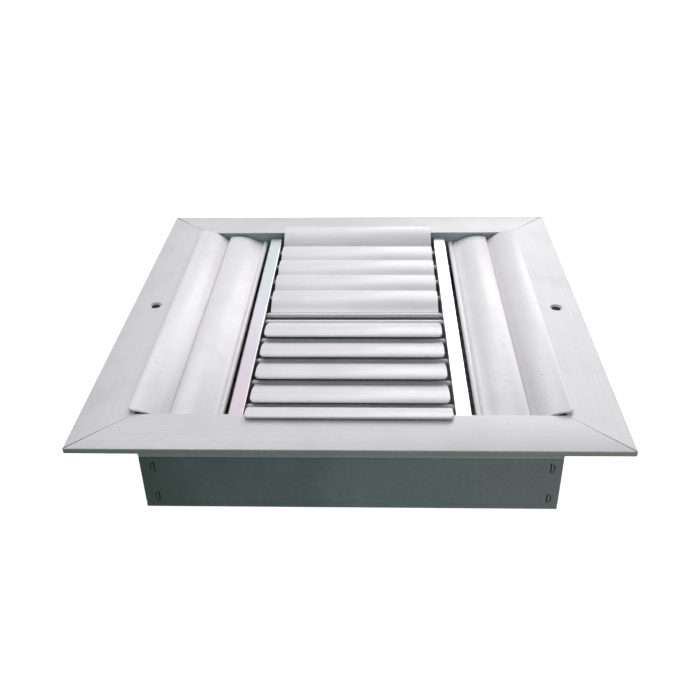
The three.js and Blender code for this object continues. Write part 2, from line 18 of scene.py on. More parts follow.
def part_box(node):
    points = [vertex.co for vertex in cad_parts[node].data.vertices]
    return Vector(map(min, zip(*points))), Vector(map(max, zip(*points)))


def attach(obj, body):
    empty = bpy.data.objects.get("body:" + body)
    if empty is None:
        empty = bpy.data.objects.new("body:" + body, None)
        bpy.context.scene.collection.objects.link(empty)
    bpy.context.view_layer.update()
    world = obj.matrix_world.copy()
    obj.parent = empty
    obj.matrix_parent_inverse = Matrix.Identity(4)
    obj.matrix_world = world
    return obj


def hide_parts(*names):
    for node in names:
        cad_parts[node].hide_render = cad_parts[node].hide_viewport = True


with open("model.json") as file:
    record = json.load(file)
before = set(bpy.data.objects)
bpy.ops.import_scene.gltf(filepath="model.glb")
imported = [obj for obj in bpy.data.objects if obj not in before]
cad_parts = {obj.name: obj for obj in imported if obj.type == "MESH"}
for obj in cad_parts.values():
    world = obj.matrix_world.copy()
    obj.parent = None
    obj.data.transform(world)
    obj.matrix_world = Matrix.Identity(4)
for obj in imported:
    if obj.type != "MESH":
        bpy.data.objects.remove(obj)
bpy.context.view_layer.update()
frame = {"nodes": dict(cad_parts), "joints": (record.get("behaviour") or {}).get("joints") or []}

# %% [markdown]
# ## Sizes
#
# Blender counts in metres and a workshop counts in millimetres, so one value
# turns one into the other. The sizes below are those of the real extrusions.
# The heights and the pivots come from the CAD frame itself.

# %% Sizes
MM = 0.001
FACE_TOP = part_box("rail_front")[1].z / MM
FACE_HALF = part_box("rail_right")[1].x / MM
NECK_HALF = 123.0
NECK_INSIDE = 121.6
FLANGE_INSIDE = 121.0
FLANGE_THICKNESS = 1.2
LIP_HEIGHT = 3.3
LIP_THICKNESS = 1.4
NECK_DEPTH = 30.0
BAR_MIDDLE = 65.0
BAR_HALF = 4.5
BAR_WALL = 1.2
BAR_DROP = 4.4
BAR_SCREW_DROP = 10.6
ROD_HOLE_RADIUS = 1.4
BAR_SCREW_HOLE_RADIUS = 1.75
PIVOTS = {j["child"]: Vector(j["pos_m"]) for j in frame["joints"] if j["type"] == "hinge"}
HEADINGS = {"front": -90.0, "back": 90.0, "left": 180.0, "right": 0.0}
print(f"face top {FACE_TOP:.1f} mm, half width {FACE_HALF:.1f} mm")

# %% [markdown]
# ## Small tools
#
# An operator acts on everything that is selected, so each step starts by
# deselecting all. `pick` selects faces, edges or points in edit mode by the
# place and the normal of each one, which is what a hand does with the mouse.

# %% Selecting and editing
def deselect():
    if bpy.context.mode != "OBJECT":
        bpy.ops.object.mode_set(mode="OBJECT")
    bpy.ops.object.select_all(action="DESELECT")


def choose(piece):
    deselect()
    piece.select_set(True)
    bpy.context.view_layer.objects.active = piece
    return piece


def edit(piece):
    choose(piece)
    bpy.ops.object.mode_set(mode="EDIT")
    bpy.ops.mesh.select_all(action="SELECT")


def pick(kind, test):
    """Selects only the faces, edges or verts whose middle and normal pass the test."""
    mode = {"faces": "FACE", "edges": "EDGE", "verts": "VERT"}[kind]
    bpy.ops.mesh.select_mode(type=mode)
    bpy.ops.mesh.select_all(action="DESELECT")
    data = bpy.context.edit_object.data
    mesh = bmesh.from_edit_mesh(data)
    for part in getattr(mesh, kind):
        points = [part] if kind == "verts" else part.verts
        middle = sum((v.co for v in points), Vector()) / len(points) / MM
        normal = part.normal if kind == "faces" else middle
        part.select_set(bool(test(middle, normal)))
    mesh.select_flush_mode()
    bmesh.update_edit_mesh(data)


def apply_modifier(piece, kind, **settings):
    """Adds a modifier, sets it and applies it at once."""
    choose(piece)
    modifier = piece.modifiers.new(kind.title(), kind)
    for name, value in settings.items():
        setattr(modifier, name, value)
    bpy.ops.object.modifier_apply(modifier=modifier.name)


def smooth(piece, degrees=30.0):
    choose(piece)
    bpy.ops.object.shade_smooth_by_angle(angle=math.radians(degrees))
    return piece


# %% [markdown]
# ## Drawing a section and pulling it
#
# Aluminium profiles come out of a die, so they are modelled the same way: the
# outline of the die is drawn point by point, filled, and pulled to length. A
# point is extruded for a straight side and spun round a centre for a curve.
# The outline is drawn in X and Z, in millimetres, and pulled along Y.

# %% Section tools
def start_outline(name, x, z):
    """A new mesh of one point at (x, z), left in edit mode."""
    deselect()
    bpy.ops.mesh.primitive_plane_add(size=MM)
    piece = bpy.context.active_object
    piece.name = piece.data.name = name
    edit(piece)
    bpy.ops.mesh.select_mode(type="VERT")
    bpy.ops.mesh.merge(type="CENTER")
    bpy.ops.transform.translate(value=(x * MM, 0, z * MM))
    return piece


def line(dx, dz):
    bpy.ops.mesh.extrude_region_move(TRANSFORM_OT_translate={"value": (dx * MM, 0, dz * MM)})


def arc(x, z, degrees, steps):
    """Spins the last point clockwise, seen from the front, round (x, z)."""
    bpy.ops.mesh.spin(
        steps=steps, angle=-math.radians(degrees), center=(x * MM, 0, z * MM), axis=(0, 1, 0)
    )


def fill_outline():
    bpy.ops.mesh.select_all(action="SELECT")
    bpy.ops.mesh.remove_doubles(threshold=1e-6)
    bpy.ops.mesh.edge_face_add()


def round_points(radius, steps, test):
    """Rounds the outline's corners that pass the test."""
    pick("verts", test)
    bpy.ops.mesh.bevel(offset=radius * MM, segments=steps, affect="VERTICES")


def pull(piece, length):
    """Pulls the filled outline along Y, half each way, and leaves edit mode."""
    bpy.ops.mesh.select_all(action="SELECT")
    bpy.ops.transform.translate(value=(0, -length / 2 * MM, 0))
    bpy.ops.mesh.extrude_region_move(TRANSFORM_OT_translate={"value": (0, length * MM, 0)})
    bpy.ops.mesh.select_all(action="SELECT")
    bpy.ops.mesh.normals_make_consistent(inside=False)
    bpy.ops.object.mode_set(mode="OBJECT")
    return piece


def trace(name, points):
    """Draws and fills an outline of straight sides through the points."""
    piece = start_outline(name, *points[0])
    for (x0, z0), (x1, z1) in zip(points, points[1:] + points[:1]):
        line(x1 - x0, z1 - z0)
    fill_outline()
    return piece


# %% [markdown]
# ## Copies that end at the origin
#
# What repeats is modelled once, turned and set in place, and then its place
# is applied, so that every object stays at the origin and its place is in its
# mesh. The CAD nodes are kept the same way, and patterns in a material then
# line up from piece to piece.

# %% Placing tools
def settle(piece):
    choose(piece)
    bpy.ops.object.transform_apply(location=True, rotation=True, scale=True)
    return piece


def copy_of(source, name, heading=0.0, tilt=0.0, at=(0, 0, 0)):
    """A copy tilted about Y, then turned about Z, then moved to a place in millimetres."""
    choose(source)
    bpy.ops.object.duplicate(linked=False)
    piece = bpy.context.active_object
    piece.name = piece.data.name = name
    piece.rotation_euler = (0, -math.radians(tilt), math.radians(heading))
    piece.location = Vector(at) * MM
    return settle(piece)


def cut(piece, cutter, how="DIFFERENCE"):
    """Cuts one piece with another and throws the cutter away."""
    apply_modifier(piece, "BOOLEAN", operation=how, object=cutter, solver="EXACT")
    bpy.data.objects.remove(cutter)


def remove(piece):
    bpy.data.objects.remove(piece)


def join(pieces, name):
    deselect()
    for piece in pieces:
        piece.select_set(True)
    bpy.context.view_layer.objects.active = pieces[0]
    bpy.ops.object.join()
    pieces[0].name = pieces[0].data.name = name
    return pieces[0]


def bar_along(axis, radius, low, high, a, b, sides=32):
    """A round bar along X or Y, its middle line at the other two coordinates."""
    deselect()
    middle = (low + high) / 2
    place = (middle, a, b) if axis == "X" else (a, middle, b)
    turn = (0, math.pi / 2, 0) if axis == "X" else (math.pi / 2, 0, 0)
    bpy.ops.mesh.primitive_cylinder_add(
        vertices=sides,
        radius=radius * MM,
        depth=(high - low) * MM,
        location=Vector(place) * MM,
        rotation=turn,
    )
    return settle(bpy.context.active_object)


def slab(low, high):
    """A block between two corners, as the start of a piece or a cutter."""
    deselect()
    size = Vector(high) - Vector(low)
    bpy.ops.mesh.primitive_cube_add(size=1, location=(Vector(low) + Vector(high)) / 2 * MM)
    block = bpy.context.active_object
    block.scale = size * MM
    return settle(block)


# %% [markdown]
# ## Materials
#
# Colours are picked as sRGB hex values, as on a screen, and one function turns
# them to the linear values that Blender mixes. One small function adds a node
# with its settings and links, so that each finish below reads as a short list.

# %% Colour and node helpers
def hex_colour(code):
    channels = [int(code[i : i + 2], 16) / 255 for i in (1, 3, 5)]
    linear = [c / 12.92 if c <= 0.04045 else ((c + 0.055) / 1.055) ** 2.4 for c in channels]
    return (*linear, 1.0)


def add(tree, kind, inputs=None, stops=None, **settings):
    """Adds a node; inputs are values or sockets to link, stops are a ramp's colours."""
    made = tree.nodes.new(kind)
    for name, value in settings.items():
        setattr(made, name, value)
    for socket, value in (inputs or {}).items():
        if isinstance(value, bpy.types.NodeSocket):
            tree.links.new(value, made.inputs[socket])
        else:
            made.inputs[socket].default_value = value
    if stops:
        elements = made.color_ramp.elements
        for position, code in stops[2:]:
            elements.new(position)
        for element, (position, code) in zip(elements, sorted(stops)):
            element.position = position
            element.color = hex_colour(code)
    return made


def new_material(name):
    """An empty material with its shader and its place on the object."""
    material = bpy.data.materials.new(name)
    material.use_nodes = True
    tree = material.node_tree
    shader = tree.nodes["Principled BSDF"]
    place = add(tree, "ShaderNodeTexCoord").outputs["Object"]
    return material, tree, shader, place


def set_inputs(tree, shader, **values):
    for name, value in values.items():
        socket = shader.inputs[name.replace("_", " ")]
        if isinstance(value, bpy.types.NodeSocket):
            tree.links.new(value, socket)
        else:
            socket.default_value = value


# %% [markdown]
# ## Powder coat
#
# The face and the blades are powder coated: dry paint melted on in an oven. It
# gives a satin skin with a faint orange peel, and the lines that the die drew
# along the metal still show through it. Handling leaves dull smudges, fine
# scratches where the smudges are, and a few specks of dust. The peel is a noise
# of about a millimetre, and the die lines are a noise stretched along the piece.

# %% Powder coat
def powder_coat(name, along, colours, roughness, marks=0.35, lines=0.22):
    material, tree, shader, place = new_material(name)
    long, across = 1 / 0.6, 1 / 0.0010
    stretch = (long, across, across) if along == "X" else (across, long, across)
    scratch_scale = (1 / 0.006, 1 / 0.0008, 1 / 0.006)
    drawn = add(tree, "ShaderNodeMapping", {"Vector": place, "Scale": stretch})
    die_lines = add(
        tree,
        "ShaderNodeTexNoise",
        {"Vector": drawn.outputs["Vector"], "Scale": 1.0, "Detail": 3.0},
    )
    peel = add(tree, "ShaderNodeTexNoise", {"Vector": place, "Scale": 1 / 0.0012, "Detail": 2.0})
    smudges = add(
        tree,
        "ShaderNodeTexNoise",
        {"Vector": place, "Scale": 1 / 0.03, "Detail": 8.0, "Roughness": 0.65},
    )
    dirt = add(
        tree,
        "ShaderNodeValToRGB",
        {"Fac": smudges.outputs["Fac"]},
        stops=[(0.34, colours[1]), (0.52, colours[0])],
    )
    sharp = add(
        tree,
        "ShaderNodeMapRange",
        {"Value": die_lines.outputs["Fac"], "From Min": 0.36, "From Max": 0.62},
    )
    lined = add(
        tree,
        "ShaderNodeMix",
        {"Factor": lines, 6: dirt.outputs["Color"], 7: sharp.outputs["Result"]},
        data_type="RGBA",
        blend_type="SOFT_LIGHT",
    )
    cells = add(tree, "ShaderNodeTexVoronoi", {"Vector": place, "Scale": 1 / 0.016})
    rare = add(
        tree,
        "ShaderNodeMath",
        {0: cells.outputs["Color"], 1: 0.72},
        operation="GREATER_THAN",
    )
    near = add(
        tree,
        "ShaderNodeMath",
        {0: cells.outputs["Distance"], 1: 0.028},
        operation="LESS_THAN",
    )
    speck = add(
        tree,
        "ShaderNodeMath",
        {0: rare.outputs[0], 1: near.outputs[0]},
        operation="MULTIPLY",
    )
    shown = add(tree, "ShaderNodeMath", {0: speck.outputs[0], 1: marks}, operation="MULTIPLY")
    specked = add(
        tree,
        "ShaderNodeMix",
        {"Factor": shown.outputs[0], 6: lined.outputs[2], 7: hex_colour("#4A4B50")},
        data_type="RGBA",
    )
    scratch_place = add(
        tree,
        "ShaderNodeMapping",
        {"Vector": place, "Scale": scratch_scale, "Rotation": (0, 0, 0.5)},
    )
    scratches = add(
        tree,
        "ShaderNodeTexNoise",
        {"Vector": scratch_place.outputs["Vector"], "Scale": 1.0, "Detail": 4.0},
    )
    scratched = add(
        tree,
        "ShaderNodeMapRange",
        {"Value": scratches.outputs["Fac"], "From Min": 0.63, "From Max": 0.70},
    )
    worn = add(
        tree,
        "ShaderNodeMapRange",
        {"Value": smudges.outputs["Fac"], "From Min": 0.50, "From Max": 0.62, "To Max": marks},
    )
    scuffed = add(
        tree,
        "ShaderNodeMath",
        {0: scratched.outputs["Result"], 1: worn.outputs["Result"]},
        operation="MULTIPLY",
    )
    marked = add(
        tree,
        "ShaderNodeMix",
        {"Factor": scuffed.outputs[0], 6: specked.outputs[2], 7: hex_colour("#77787D")},
        data_type="RGBA",
    )
    gloss = add(
        tree,
        "ShaderNodeMapRange",
        {"Value": smudges.outputs["Fac"], "To Min": roughness + 0.03, "To Max": roughness - 0.03},
    )
    skin = add(
        tree,
        "ShaderNodeMix",
        {"Factor": 0.4, 2: peel.outputs["Fac"], 3: die_lines.outputs["Fac"]},
    )
    bump = add(
        tree,
        "ShaderNodeBump",
        {"Strength": 0.10, "Distance": 0.0002, "Height": skin.outputs[0]},
    )
    set_inputs(
        tree,
        shader,
        Base_Color=marked.outputs[2],
        Roughness=gloss.outputs["Result"],
        Normal=bump.outputs["Normal"],
        IOR=1.5,
    )
    return material


FACE_WHITE = ("#DEDBDE", "#D7D4D8")
BLADE_WHITE = ("#F2EEF1", "#ECE8EC")
face_x = powder_coat("powder_coat_face_lengthwise", "X", FACE_WHITE, 0.40, lines=0.08)
face_y = powder_coat("powder_coat_face_crosswise", "Y", FACE_WHITE, 0.40, lines=0.08)
blade_x = powder_coat("powder_coat_blade_lengthwise", "X", BLADE_WHITE, 0.34, lines=0.26)
blade_y = powder_coat("powder_coat_blade_crosswise", "Y", BLADE_WHITE, 0.34, 0.6, 0.14)
print("powder coats:", face_x.name, face_y.name, blade_x.name, blade_y.name)

# %% [markdown]
# ## Grey coat and painted shade under the face
#
# The neck and the frame below it hide in the ceiling and get a grey-green
# coat, darker than the face. Its darkness and its green tint also paint the
# shade under the flange, and darker colours of the same kind paint the shade
# on the lip's front and on the neck's inner wall. It is uneven: cloudier and
# greener in places, with a rub here and there. A slow noise drives the colour,
# the place from left to right paints shade darker towards the left, and a finer
# noise drives the gloss.

# %% Grey coat and painted shade
def grey_coat_and_shade(name, stops):
    material, tree, shader, place = new_material(name)
    axes = add(tree, "ShaderNodeSeparateXYZ", {"Vector": place})
    # Painted shade: the colour runs darker and greener towards the left.
    left_shade_ramp = add(
        tree,
        "ShaderNodeMapRange",
        {"Value": axes.outputs["X"], "From Min": -0.12, "From Max": 0.12},
    )
    cloud = add(
        tree,
        "ShaderNodeTexNoise",
        {"Vector": place, "Scale": 1 / 0.06, "Detail": 4.0, "Distortion": 0.6},
    )
    grain = add(tree, "ShaderNodeTexNoise", {"Vector": place, "Scale": 1 / 0.002, "Detail": 3.0})
    drift = add(
        tree,
        "ShaderNodeMix",
        {"Factor": 0.45, 2: left_shade_ramp.outputs["Result"], 3: cloud.outputs["Fac"]},
    )
    colour = add(tree, "ShaderNodeValToRGB", {"Fac": drift.outputs[0]}, stops=stops)
    flecked = add(
        tree,
        "ShaderNodeMix",
        {"Factor": 0.18, 6: colour.outputs["Color"], 7: grain.outputs["Fac"]},
        data_type="RGBA",
        blend_type="OVERLAY",
    )
    gloss = add(
        tree,
        "ShaderNodeMapRange",
        {"Value": grain.outputs["Fac"], "To Min": 0.38, "To Max": 0.52},
    )
    bump = add(
        tree,
        "ShaderNodeBump",
        {"Strength": 0.15, "Distance": 0.0002, "Height": grain.outputs["Fac"]},
    )
    set_inputs(
        tree,
        shader,
        Base_Color=flecked.outputs[2],
        Roughness=gloss.outputs["Result"],
        Normal=bump.outputs["Normal"],
        Metallic=0.0,
        IOR=1.5,
    )
    return material


# The neck and damper colours are a grey coat darkened to paint shade; the lip and inside colours
# are painted shade on the white rail.
neck_coat_and_shade = grey_coat_and_shade(
    "grey_neck_coat_and_shade", [(0.18, "#B3BAB5"), (0.85, "#CBCCC6"), (0.5, "#C2C7C6")]
)
damper_coat_and_shade = grey_coat_and_shade(
    "grey_damper_coat_and_shade", [(0.18, "#6B756C"), (0.85, "#A9A9A0"), (0.5, "#99A1A0")]
)
lip_shade = grey_coat_and_shade("lip_painted_shade", [(0.20, "#ABA79D"), (0.80, "#C4BDAE")])
inner_shade = grey_coat_and_shade(
    "inside_painted_shade", [(0.18, "#A0ABAD"), (0.85, "#C0C7C8"), (0.5, "#ACB7BD")]
)

# %% [markdown]
# ## Bright metal, zinc and nylon
#
# The divider bars are bright anodised aluminium. A colour ramp along each
# bar's length paints the reflection it shows: pinkish to pale cyan on the left
# bar, near white on the right one, where it paints a blown-out highlight. The
# fixings are zinc plated steel, duller and slightly blue. The pivot bushes are
# natural nylon, milky and soft.

# %% Anodised aluminium
def anodised(name, stops):
    material, tree, shader, place = new_material(name)
    axes = add(tree, "ShaderNodeSeparateXYZ", {"Vector": place})
    along = add(
        tree,
        "ShaderNodeMapRange",
        {"Value": axes.outputs["Y"], "From Min": -0.122, "From Max": 0.122},
    )
    # Painted reflection: the colour changes along the bar's length.
    reflection_ramp = add(tree, "ShaderNodeValToRGB", {"Fac": along.outputs["Result"]}, stops=stops)
    drawn = add(
        tree, "ShaderNodeMapping", {"Vector": place, "Scale": (1 / 0.0008, 1 / 0.12, 1 / 0.0008)}
    )
    brushed = add(
        tree,
        "ShaderNodeTexNoise",
        {"Vector": drawn.outputs["Vector"], "Scale": 1.0, "Detail": 3.0},
    )
    gloss = add(
        tree,
        "ShaderNodeMapRange",
        {"Value": brushed.outputs["Fac"], "To Min": 0.26, "To Max": 0.44},
    )
    bump = add(
        tree,
        "ShaderNodeBump",
        {"Strength": 0.12, "Distance": 0.0001, "Height": brushed.outputs["Fac"]},
    )
    set_inputs(
        tree,
        shader,
        Base_Color=reflection_ramp.outputs["Color"],
        Metallic=1.0,
        Roughness=gloss.outputs["Result"],
        Normal=bump.outputs["Normal"],
    )
    return material


# Left bar: painted reflection, pinkish at the front and cyan at the back. Right bar: near white, a
# painted highlight.
bar_left_painted_reflection = anodised(
    "anodised_aluminium_painted_reflection",
    [(0.0, "#A598A1"), (1.0, "#D3DBDC"), (0.3, "#B9B3BB"), (0.5, "#CBC9D0")],
)
bar_right_painted_highlight = anodised("anodised_aluminium_painted_highlight", [(0.0, "#FAFAFA"), (1.0, "#F6F8F8")])


# %% Zinc and nylon
def speckled(name, light, dark, grain_size, roughness, metallic, ior):
    material, tree, shader, place = new_material(name)
    grain = add(
        tree, "ShaderNodeTexNoise", {"Vector": place, "Scale": 1 / grain_size, "Detail": 3.0}
    )
    colour = add(
        tree,
        "ShaderNodeValToRGB",
        {"Fac": grain.outputs["Fac"]},
        stops=[(0.32, dark), (0.66, light)],
    )
    gloss = add(
        tree,
        "ShaderNodeMapRange",
        {"Value": grain.outputs["Fac"], "To Min": roughness - 0.06, "To Max": roughness + 0.08},
    )
    set_inputs(
        tree,
        shader,
        Base_Color=colour.outputs["Color"],
        Roughness=gloss.outputs["Result"],
        Metallic=metallic,
        IOR=ior,
    )
    return material


zinc = speckled("zinc_plated_steel", "#BFC4C6", "#A5ABAF", 0.004, 0.38, 1.0, 1.5)
nylon = speckled("natural_nylon", "#F0F1F0", "#DCDEDD", 0.002, 0.45, 0.0, 1.53)
# A black that paints shade: in the mitre gaps and under the screw holes.
shade_black = speckled("black_painted_shade", "#26282A", "#0F1011", 0.0009, 0.85, 0.0, 1.45)
print("materials:", len(bpy.data.materials))

# %% [markdown]
# ## The face rails
#
# Four lengths of one extrusion make the face. Its section is a flange with a
# turned-down lip, two hooked ribs that hold the corner keys, and the neck wall.
# It could be a box with extruded parts, but drawing the die's outline keeps the
# thin walls true. The long edges are rounded in the outline, where a die is
# worn round, and the ends are then cut sharp at 45 degrees with bisect.

# %% Rail section
KEY_RIB_IN = NECK_HALF + 8.2
KEY_RIB_OUT = KEY_RIB_IN + 11.2
RIB = 1.0
HOOK = 1.6
HOOK_TOP = -2.6


def rail_outline():
    rib_top = -FLANGE_THICKNESS
    points = [
        (FLANGE_INSIDE, 0),
        (FLANGE_INSIDE, rib_top),
        (NECK_INSIDE, rib_top),
        (NECK_INSIDE, -NECK_DEPTH),
        (NECK_HALF, -NECK_DEPTH),
        (NECK_HALF, rib_top),
        (KEY_RIB_IN - RIB, rib_top),
        (KEY_RIB_IN - RIB, -LIP_HEIGHT),
        (KEY_RIB_IN + HOOK, -LIP_HEIGHT),
        (KEY_RIB_IN + HOOK, HOOK_TOP),
        (KEY_RIB_IN, HOOK_TOP),
        (KEY_RIB_IN, rib_top),
        (KEY_RIB_OUT, rib_top),
        (KEY_RIB_OUT, HOOK_TOP),
        (KEY_RIB_OUT - HOOK, HOOK_TOP),
        (KEY_RIB_OUT - HOOK, -LIP_HEIGHT),
        (KEY_RIB_OUT + RIB, -LIP_HEIGHT),
        (KEY_RIB_OUT + RIB, rib_top),
        (FACE_HALF - LIP_THICKNESS, rib_top),
        (FACE_HALF - LIP_THICKNESS, -LIP_HEIGHT),
        (FACE_HALF, -LIP_HEIGHT),
        (FACE_HALF, 0),
    ]
    piece = trace("rail_master", [(x, z + FACE_TOP) for x, z in points])
    top = FACE_TOP - 0.01
    round_points(0.45, 4, lambda at, n: at.x > FACE_HALF - 0.01 and at.z > top)
    round_points(0.3, 3, lambda at, n: at.x < FLANGE_INSIDE + 0.01)
    round_points(0.3, 2, lambda at, n: at.z < FACE_TOP - NECK_DEPTH + 0.01)
    round_points(0.25, 2, lambda at, n: abs(at.z - FACE_TOP + LIP_HEIGHT) < 0.01)
    return piece


rail_master = pull(rail_outline(), 2 * FACE_HALF + 2)
print("rail section pulled:", len(rail_master.data.vertices), "points")

# %% Mitre cuts
MITRE_INNER_GAP = 0.08
MITRE_OPENING = 0.35  # degrees, a mitre is a hair wider at its outer corner


def mitre(piece):
    """Cuts both ends at 45 degrees, a hair short of the corner's middle line."""
    edit(piece)
    for hand in (1, -1):
        angle = math.radians(45 - MITRE_OPENING)
        place = Vector((NECK_INSIDE, hand * (NECK_INSIDE - MITRE_INNER_GAP), 0)) * MM
        away = Vector((-math.sin(angle), hand * math.cos(angle), 0))
        bpy.ops.mesh.select_all(action="SELECT")
        bpy.ops.mesh.bisect(plane_co=place, plane_no=away, use_fill=True, clear_outer=True)
    bpy.ops.object.mode_set(mode="OBJECT")


mitre(rail_master)
ends = [v.co.y / MM for v in rail_master.data.vertices]
print(f"mitred rail runs from {min(ends):.2f} to {max(ends):.2f} mm")

# %% [markdown]
# Four colours meet on one rail. The faces are picked by height and place and
# assigned to the slot of their colour: the face paint stops at the lip's edge
# and under the flange, and everything below gets the grey coat, darkened to
# paint shade. The lip's outer face and the neck's inner wall get painted shade.

# %% Rail finishes
def finish_rail(piece, face):
    piece.data.materials.clear()
    for material in (face, neck_coat_and_shade, lip_shade, inner_shade):
        piece.data.materials.append(material)
    edit(piece)
    # Under the flange: grey coat, darkened to paint shade.
    under = FACE_TOP - FLANGE_THICKNESS + 0.05
    pick("faces", lambda at, n: at.z < under and n.z < 0.5)
    piece.active_material_index = 1
    bpy.ops.object.material_slot_assign()
    # The lip's outer face gets painted shade.
    edge = FACE_HALF - 0.06
    pick("faces", lambda at, n: at.x > edge and n.x > 0.9)
    piece.active_material_index = 2
    bpy.ops.object.material_slot_assign()
    # The neck's inner wall gets painted shade.
    pick("faces", lambda at, n: at.x < NECK_INSIDE + 0.05 and n.x < -0.9)
    piece.active_material_index = 3
    bpy.ops.object.material_slot_assign()
    bpy.ops.object.mode_set(mode="OBJECT")


finish_rail(rail_master, face_x)

# %% [markdown]
# ## Holes in the rails
#
# The ceiling screws go through countersunk holes in the left and right rails.
# The cutter starts as a cylinder; its top face is extruded up and widened into
# the cone of the countersink. The front and back rails have plain round holes
# for the rods of the side blades and for the screws that hold the bars.

# %% Countersunk holes
FIXING_X = NECK_HALF + 13.8
FIXING_RADIUS = 2.4
COUNTERSINK_RADIUS = 4.2
FIXING_ALONG = {"left": -3.0, "right": 0.0}


def countersink_cutter(y):
    deselect()
    depth = COUNTERSINK_RADIUS - FIXING_RADIUS
    bottom = FACE_TOP - 2 * LIP_HEIGHT
    top = FACE_TOP - depth
    bpy.ops.mesh.primitive_cylinder_add(
        vertices=64,
        radius=FIXING_RADIUS * MM,
        depth=(top - bottom) * MM,
        location=Vector((FIXING_X, y, (top + bottom) / 2)) * MM,
    )
    cutter = settle(bpy.context.active_object)
    edit(cutter)
    pick("faces", lambda at, n: n.z > 0.9)
    bpy.ops.mesh.extrude_region_move(TRANSFORM_OT_translate={"value": (0, 0, depth * MM)})
    widen = COUNTERSINK_RADIUS / FIXING_RADIUS
    bpy.ops.transform.resize(
        value=(widen, widen, 1), center_override=Vector((FIXING_X, y, FACE_TOP)) * MM
    )
    bpy.ops.mesh.extrude_region_move(TRANSFORM_OT_translate={"value": (0, 0, MM)})
    bpy.ops.object.mode_set(mode="OBJECT")
    return cutter


def side_rail(side, face, y):
    piece = copy_of(rail_master, "master_" + side)
    cut(piece, countersink_cutter(y))
    piece.data.materials[0] = face
    made = copy_of(smooth(piece), "face_rail_" + side, HEADINGS[side])
    remove(piece)
    return made


# %% Front and back rails
BAR_SCREW_Z = FACE_TOP - BAR_DROP - BAR_SCREW_DROP
PIVOT_Z = PIVOTS["louvre_right_inner"].z / MM
SIDE_PIVOTS = [PIVOTS["louvre_right_" + row].x / MM for row in ("inner", "outer")]


def end_rail(side, face):
    piece = copy_of(rail_master, "master_" + side)
    low, high = NECK_INSIDE - 1, NECK_HALF + 1
    for hand in (-1, 1):
        for pivot in SIDE_PIVOTS:
            cut(piece, bar_along("X", ROD_HOLE_RADIUS, low, high, hand * pivot, PIVOT_Z))
        place = (hand * BAR_MIDDLE, BAR_SCREW_Z)
        cut(piece, bar_along("X", BAR_SCREW_HOLE_RADIUS, low, high, *place))
    piece.data.materials[0] = face
    made = copy_of(smooth(piece), "face_rail_" + side, HEADINGS[side])
    remove(piece)
    return made


rails = {
    "front": end_rail("front", face_x),
    "back": end_rail("back", face_x),
    "left": side_rail("left", face_y, FIXING_ALONG["left"]),
    "right": side_rail("right", face_y, FIXING_ALONG["right"]),
}
remove(rail_master)
for side, piece in rails.items():
    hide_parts("rail_" + side)
    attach(piece, "register_frame")
print("face rails:", sorted(p.name for p in rails.values()))

# %% [markdown]
# ## Painted shade in the mitres
#
# A thin dark block stands in each mitre, a little below the face, and paints
# the shade in the mitre's gap. It starts as a block along X. Its outer end face
# is widened, because the mitre is, and each copy is turned into its corner's
# middle line.

# %% Painted shade in the mitres
MITRE_SHADE_WIDTH = 0.08
MITRE_SHADE_SPREAD = 6
MITRE_SHADE_DROP = 0.3

reach = math.sqrt(2)
mitre_shade_master = slab(
    (NECK_INSIDE * reach + 0.3, -MITRE_SHADE_WIDTH / 2, FACE_TOP - FLANGE_THICKNESS + 0.05),
    ((FACE_HALF - 0.5) * reach, MITRE_SHADE_WIDTH / 2, FACE_TOP - MITRE_SHADE_DROP),
)
edit(mitre_shade_master)
pick("faces", lambda at, n: n.x > 0.9)
bpy.ops.transform.resize(value=(1, MITRE_SHADE_SPREAD, 1))
bpy.ops.object.mode_set(mode="OBJECT")
# Black paints the shade in the gap.
mitre_shade_master.data.materials.append(shade_black)
for number, heading in enumerate((45, 135, 225, 315), 1):
    mitre_shade = copy_of(mitre_shade_master, f"mitre_shade_block_{number}", heading)
    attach(mitre_shade, "register_frame")
remove(mitre_shade_master)

# %% [markdown]
# ## Sealing strips
#
# A strip of black closed-cell foam is pressed into the slot between the hooked
# ribs, from one corner key to the next, to close the joint between the flange
# and the ceiling. Its black paints the shade that shows at the bottom of the
# screw holes. The block's long edges are bevelled, as a knife rolls them over.

# %% Sealing strips
STRIP_HALF = 100.0
STRIP_DEPTH = 1.25


def foam_strip():
    low = (KEY_RIB_IN + 0.3, -STRIP_HALF, HOOK_TOP + FACE_TOP + 0.05)
    high = (KEY_RIB_OUT - 0.3, STRIP_HALF, HOOK_TOP + FACE_TOP + STRIP_DEPTH)
    strip = slab(low, high)
    edit(strip)
    pick("edges", lambda at, n: abs(at.y) < 1)
    bpy.ops.mesh.bevel(offset=0.3 * MM, segments=3, affect="EDGES")
    bpy.ops.object.mode_set(mode="OBJECT")
    return smooth(strip)


strip_master = foam_strip()
# Its black paints the shade under the screw holes.
strip_master.data.materials.append(shade_black)
for side in ("left", "right"):
    strip = copy_of(strip_master, "foam_strip_" + side, HEADINGS[side])
    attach(strip, "register_frame")
remove(strip_master)

# %% [markdown]
# ## The louvre blades
#
# Each blade is an extrusion too: a round bead that turns on a rod, a straight
# root, and a curved outer part that throws the air sideways. The outline goes
# along the underside to the tip and back along the top. There the sheet swells
# into a shoulder, drops into a narrow crease, and the outline ends round the
# bead. The sheet is curved in the outline, because bending a flat plate
# afterwards would not keep its thickness. The four corners of the sheet are
# rounded in plan, by intersecting the blade with a block whose upright edges
# are bevelled and which is joined to a plain block over the bead.

# %% Blade section
BEAD_RADIUS = 1.85
SHEET = 1.2
ROOT_ANGLE = 27.0
ROOT_LENGTH = 9.0
WEDGE_LENGTH = 5.2
CURVE_RADIUS = 29.0
BLADE_CORNER = 3.0
BORE_RADIUS = 1.25
SHOULDER = 2.85
CREASE_FLOOR = -0.75
CREASE_LEAN = 0.1
ROOT_CORNER = 2.2
ARC_STEPS = 22


